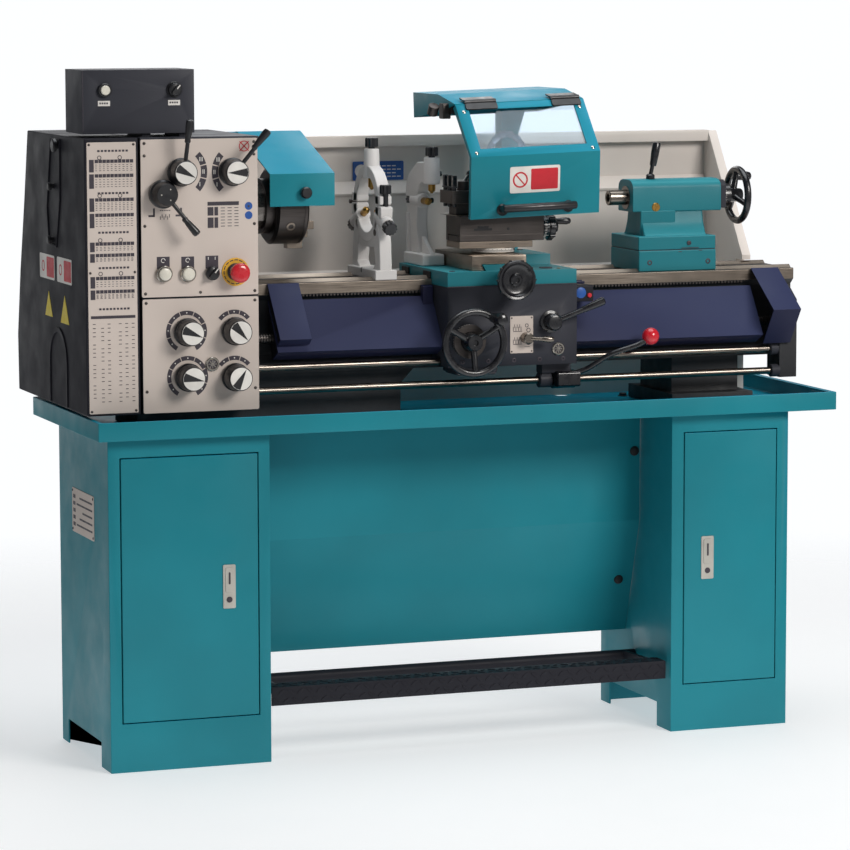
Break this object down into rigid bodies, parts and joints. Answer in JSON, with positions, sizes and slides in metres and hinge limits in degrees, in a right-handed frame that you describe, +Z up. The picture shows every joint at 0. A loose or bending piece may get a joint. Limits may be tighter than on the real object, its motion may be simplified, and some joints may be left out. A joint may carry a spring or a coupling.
{
  "type": "metal lathe",
  "caption": "Gear-head centre lathe on a two-cabinet stand with a chip tray, splash guard, geared headstock, carriage with compound slide, steady and follow rests, and tailstock.",
  "frame": {"origin": "centre of the machine's bounding box in plan, on the floor", "axes": "+X along the spindle from the headstock to the tailstock, +Y from the operator to the splash guard, +Z up"},
  "size_m": [1.707, 0.714, 1.479],
  "materials": {
    "teal_paint": "semi-gloss, light orange peel",
    "navy_paint": "satin",
    "cream_paint": "semi-gloss",
    "white_paint": "satin",
    "dark_paint": "fine texture",
    "charcoal_paint": "satin",
    "cast_dark": "painted casting with ground ways",
    "ground_steel": "ground",
    "polished_steel": "polished",
    "plastic_black": "moulded",
    "plastic_white": "gloss",
    "plastic_red": "gloss",
    "handle_black": "gloss black",
    "brass": "turned",
    "clear_sheet": "clear polycarbonate",
    "rubber_black": "matt",
    "printed_plate": "satin with printed marks"
  },
  "bodies": {
    "machine": {"left_cabinet": "teal_paint", "right_cabinet": "teal_paint", "stand_front_panel": "teal_paint", "chip_tray": "teal_paint", "splash_guard": "cream_paint", "bed": "cast_dark", "left_fixed_guard": "navy_paint", "right_fixed_guard": "navy_paint", "headstock": "charcoal_paint", "feed_gearbox": "charcoal_paint", "electrical_box": "charcoal_paint", "drive_motor": "charcoal_paint"},
    "left_door": {"left_door": "teal_paint"},
    "right_door": {"right_door": "teal_paint"},
    "brake_pedal": {"brake_pedal": "charcoal_paint"},
    "gear_cover": {"gear_cover": "dark_paint"},
    "speed_lever_1": {"speed_lever_1": "plastic_black"},
    "speed_lever_2": {"speed_lever_2": "plastic_black"},
    "feed_direction_lever": {"feed_direction_lever": "plastic_black"},
    "feed_knob_1": {"feed_knob_1": "plastic_black"},
    "feed_knob_2": {"feed_knob_2": "plastic_black"},
    "feed_knob_3": {"feed_knob_3": "plastic_black"},
    "feed_knob_4": {"feed_knob_4": "plastic_black"},
    "jog_button": {"jog_button": "plastic_white"},
    "coolant_switch": {"coolant_switch": "plastic_black"},
    "emergency_stop": {"emergency_stop": "plastic_red"},
    "reset_button": {"reset_button": "plastic_white"},
    "lamp_switch": {"lamp_switch": "plastic_black"},
    "spindle": {"spindle": "ground_steel", "chuck_body": "ground_steel"},
    "chuck_jaw_1": {"chuck_jaw_1": "ground_steel"},
    "chuck_jaw_2": {"chuck_jaw_2": "ground_steel"},
    "chuck_jaw_3": {"chuck_jaw_3": "ground_steel"},
    "chuck_guard": {"chuck_guard": "teal_paint"},
    "motor_pulley": {"motor_pulley": "ground_steel"},
    "leadscrew": {"leadscrew": "ground_steel"},
    "feed_rod": {"feed_rod": "polished_steel"},
    "control_rod": {"control_rod": "polished_steel"},
    "steady_rest": {"steady_frame": "white_paint"},
    "steady_cap": {"steady_cap": "white_paint"},
    "carriage": {"saddle": "teal_paint", "apron": "charcoal_paint", "carriage_guard": "navy_paint", "follow_rest": "white_paint", "shield_bracket": "teal_paint"},
    "carriage_handwheel": {"carriage_handwheel": "handle_black"},
    "half_nut_lever": {"half_nut_lever": "handle_black"},
    "feed_lever": {"feed_lever": "polished_steel"},
    "start_lever": {"start_lever": "handle_black"},
    "cross_slide": {"cross_slide": "ground_steel"},
    "cross_handwheel": {"cross_handwheel": "plastic_black"},
    "compound": {"compound_base": "ground_steel"},
    "top_slide": {"top_slide": "ground_steel"},
    "top_slide_crank": {"top_slide_crank": "handle_black"},
    "tool_post": {"tool_post": "ground_steel"},
    "chip_shield": {"chip_shield": "teal_paint"},
    "tailstock": {"tailstock": "teal_paint"},
    "quill": {"quill": "polished_steel"},
    "tailstock_handwheel": {"tailstock_handwheel": "handle_black"},
    "quill_lever": {"quill_lever": "handle_black"}
  },
  "joints": [
    {"name": "left_door_hinge", "type": "hinge", "parent": "machine", "child": "left_door", "pos_m": [-0.7935, -0.269, 0.387], "axis": [0, 0, -1], "range_deg": [0, 105]},
    {"name": "right_door_hinge", "type": "hinge", "parent": "machine", "child": "right_door", "pos_m": [0.7225, -0.269, 0.387], "axis": [0, 0, 1], "range_deg": [0, 105]},
    {"name": "brake_pedal_hinge", "type": "hinge", "parent": "machine", "child": "brake_pedal", "pos_m": [0.0035, -0.063, 0.14], "axis": [1, 0, 0], "range_deg": [0, 8], "stiffness_Nm_per_rad": 60, "springref_deg": -14.32},
    {"name": "gear_cover_hinge", "type": "hinge", "parent": "machine", "child": "gear_cover", "pos_m": [-0.7405, 0.359, 0.95], "axis": [0, 0, -1], "range_deg": [0, 100]},
    {"name": "speed_lever_1_turn", "type": "hinge", "parent": "machine", "child": "speed_lever_1", "pos_m": [-0.6455, -0.235, 1.265], "axis": [0, 1, 0], "range_deg": [-25, 25]},
    {"name": "speed_lever_2_turn", "type": "hinge", "parent": "machine", "child": "speed_lever_2", "pos_m": [-0.533, -0.235, 1.2635], "axis": [0, 1, 0], "range_deg": [-30, 30]},
    {"name": "feed_direction_turn", "type": "hinge", "parent": "machine", "child": "feed_direction_lever", "pos_m": [-0.6865, -0.235, 1.22], "axis": [0, 1, 0], "range_deg": [-30, 30]},
    {"name": "feed_knob_1_turn", "type": "hinge", "parent": "machine", "child": "feed_knob_1", "pos_m": [-0.635, -0.235, 0.928], "axis": [0, 1, 0], "range_deg": [-150, 150]},
    {"name": "feed_knob_2_turn", "type": "hinge", "parent": "machine", "child": "feed_knob_2", "pos_m": [-0.53, -0.235, 0.927], "axis": [0, 1, 0], "range_deg": [-45, 45]},
    {"name": "feed_knob_3_turn", "type": "hinge", "parent": "machine", "child": "feed_knob_3", "pos_m": [-0.6335, -0.235, 0.832], "axis": [0, 1, 0], "range_deg": [-150, 150]},
    {"name": "feed_knob_4_turn", "type": "hinge", "parent": "machine", "child": "feed_knob_4", "pos_m": [-0.53, -0.235, 0.829], "axis": [0, 1, 0], "range_deg": [-45, 45]},
    {"name": "jog_button_press", "type": "slide", "parent": "machine", "child": "jog_button", "axis": [0, 1, 0], "range_m": [0, 0.004], "stiffness_N_per_m": 500, "springref_m": -0.002},
    {"name": "coolant_switch_turn", "type": "hinge", "parent": "machine", "child": "coolant_switch", "pos_m": [-0.579, -0.235, 1.051], "axis": [0, 1, 0], "range_deg": [0, 60]},
    {"name": "emergency_stop_press", "type": "slide", "parent": "machine", "child": "emergency_stop", "axis": [0, 1, 0], "range_m": [0, 0.006], "stiffness_N_per_m": 900, "springref_m": -0.003},
    {"name": "reset_button_press", "type": "slide", "parent": "machine", "child": "reset_button", "axis": [0, 1, 0], "range_m": [0, 0.003], "stiffness_N_per_m": 500, "springref_m": -0.002},
    {"name": "lamp_switch_turn", "type": "hinge", "parent": "machine", "child": "lamp_switch", "pos_m": [-0.65, -0.208, 1.437], "axis": [0, 1, 0], "range_deg": [0, 60]},
    {"name": "spindle_turn", "type": "hinge", "parent": "machine", "child": "spindle", "pos_m": [-0.4465, -0.043, 1.178], "axis": [1, 0, 0], "continuous": true},
    {"name": "chuck_jaw_1_slide", "type": "slide", "parent": "spindle", "child": "chuck_jaw_1", "axis": [0, 0, -1], "range_m": [-0.01, 0.004]},
    {"name": "chuck_jaw_2_slide", "type": "slide", "parent": "spindle", "child": "chuck_jaw_2", "axis": [0, 0.866, 0.5], "range_m": [-0.01, 0.004]},
    {"name": "chuck_jaw_3_slide", "type": "slide", "parent": "spindle", "child": "chuck_jaw_3", "axis": [0, -0.866, 0.5], "range_m": [-0.01, 0.004]},
    {"name": "chuck_guard_hinge", "type": "hinge", "parent": "machine", "child": "chuck_guard", "pos_m": [-0.4465, 0.104, 1.318], "axis": [-1, 0, 0], "range_deg": [0, 75]},
    {"name": "motor_pulley_turn", "type": "hinge", "parent": "machine", "child": "motor_pulley", "pos_m": [-0.6965, 0.239, 0.925], "axis": [1, 0, 0], "continuous": true},
    {"name": "leadscrew_turn", "type": "hinge", "parent": "machine", "child": "leadscrew", "pos_m": [0.0035, -0.173, 0.902], "axis": [1, 0, 0], "continuous": true},
    {"name": "feed_rod_turn", "type": "hinge", "parent": "machine", "child": "feed_rod", "pos_m": [0.0035, -0.183, 0.84], "axis": [1, 0, 0], "continuous": true},
    {"name": "control_rod_turn", "type": "hinge", "parent": "machine", "child": "control_rod", "pos_m": [0.0035, -0.188, 0.791], "axis": [1, 0, 0], "range_deg": [-10, 25]},
    {"name": "steady_slide", "type": "slide", "parent": "machine", "child": "steady_rest", "axis": [1, 0, 0], "range_m": [-0.08, 0]},
    {"name": "steady_cap_hinge", "type": "hinge", "parent": "steady_rest", "child": "steady_cap", "pos_m": [-0.1545, 0.059, 1.1776], "axis": [-1, 0, 0], "range_deg": [0, 80]},
    {"name": "carriage_slide", "type": "slide", "parent": "machine", "child": "carriage", "axis": [1, 0, 0], "range_m": [-0.045, 0.045]},
    {"name": "carriage_handwheel_turn", "type": "hinge", "parent": "carriage", "child": "carriage_handwheel", "pos_m": [-0.008, -0.239, 0.8885], "axis": [0, 1, 0], "range_deg": [-900, 900]},
    {"name": "half_nut_turn", "type": "hinge", "parent": "carriage", "child": "half_nut_lever", "pos_m": [0.1875, -0.239, 0.924], "axis": [0, 1, 0], "range_deg": [0, 28]},
    {"name": "feed_lever_turn", "type": "hinge", "parent": "carriage", "child": "feed_lever", "pos_m": [0.1295, -0.239, 0.89], "axis": [0, 1, 0], "range_deg": [0, 25]},
    {"name": "start_lever_turn", "type": "hinge", "parent": "carriage", "child": "start_lever", "pos_m": [0.2385, -0.188, 0.791], "axis": [1, 0, 0], "range_deg": [-10, 25]},
    {"name": "cross_slide_slide", "type": "slide", "parent": "carriage", "child": "cross_slide", "axis": [0, 1, 0], "range_m": [-0.016, 0.036]},
    {"name": "cross_handwheel_turn", "type": "hinge", "parent": "carriage", "child": "cross_handwheel", "pos_m": [0.083, -0.255, 1.022], "axis": [0, 1, 0], "range_deg": [-1440, 3240]},
    {"name": "compound_swivel", "type": "hinge", "parent": "cross_slide", "child": "compound", "pos_m": [0.0965, -0.13, 1.08], "axis": [0, 0, -1], "range_deg": [-5, 20]},
    {"name": "top_slide_slide", "type": "slide", "parent": "compound", "child": "top_slide", "axis": [1, 0, 0], "range_m": [-0.03, 0.03]},
    {"name": "top_slide_crank_turn", "type": "hinge", "parent": "top_slide", "child": "top_slide_crank", "pos_m": [0.1995, -0.13, 1.124], "axis": [1, 0, 0], "range_deg": [-2700, 2700]},
    {"name": "tool_post_turn", "type": "hinge", "parent": "top_slide", "child": "tool_post", "pos_m": [0.0235, -0.13, 1.18], "axis": [0, 0, 1], "continuous": true},
    {"name": "chip_shield_hinge", "type": "hinge", "parent": "carriage", "child": "chip_shield", "pos_m": [0.2035, -0.1375, 1.4035], "axis": [-0.9995, 0, -0.0314], "range_deg": [0, 100]},
    {"name": "tailstock_slide", "type": "slide", "parent": "machine", "child": "tailstock", "axis": [1, 0, 0], "range_m": [-0.04, 0.12]},
    {"name": "quill_slide", "type": "slide", "parent": "tailstock", "child": "quill", "axis": [-1, 0, 0], "range_m": [-0.04, 0.06]},
    {"name": "tailstock_handwheel_turn", "type": "hinge", "parent": "tailstock", "child": "tailstock_handwheel", "pos_m": [0.6795, -0.043, 1.178], "axis": [-1, 0, 0], "range_deg": [-3600, 5400]},
    {"name": "quill_lever_turn", "type": "hinge", "parent": "tailstock", "child": "quill_lever", "pos_m": [0.5035, -0.055, 1.219], "axis": [0, 0, 1], "range_deg": [-30, 60]}
  ],
  "couplings": [
    {"joint": "chuck_jaw_2_slide", "follows": "chuck_jaw_1_slide", "ratio": 1},
    {"joint": "chuck_jaw_3_slide", "follows": "chuck_jaw_1_slide", "ratio": 1},
    {"joint": "motor_pulley_turn", "follows": "spindle_turn", "ratio": 1.6667},
    {"joint": "leadscrew_turn", "follows": "spindle_turn", "ratio": 0.5},
    {"joint": "feed_rod_turn", "follows": "spindle_turn", "ratio": 0.25},
    {"joint": "carriage_handwheel_turn", "follows": "carriage_slide", "rad_per_m": 349.06},
    {"joint": "control_rod_turn", "follows": "start_lever_turn", "ratio": 1},
    {"joint": "cross_handwheel_turn", "follows": "cross_slide_slide", "rad_per_m": 1570.8},
    {"joint": "top_slide_crank_turn", "follows": "top_slide_slide", "rad_per_m": 1570.8},
    {"joint": "quill_slide", "follows": "tailstock_handwheel_turn", "m_per_rad": 0.00063656}
  ]
}
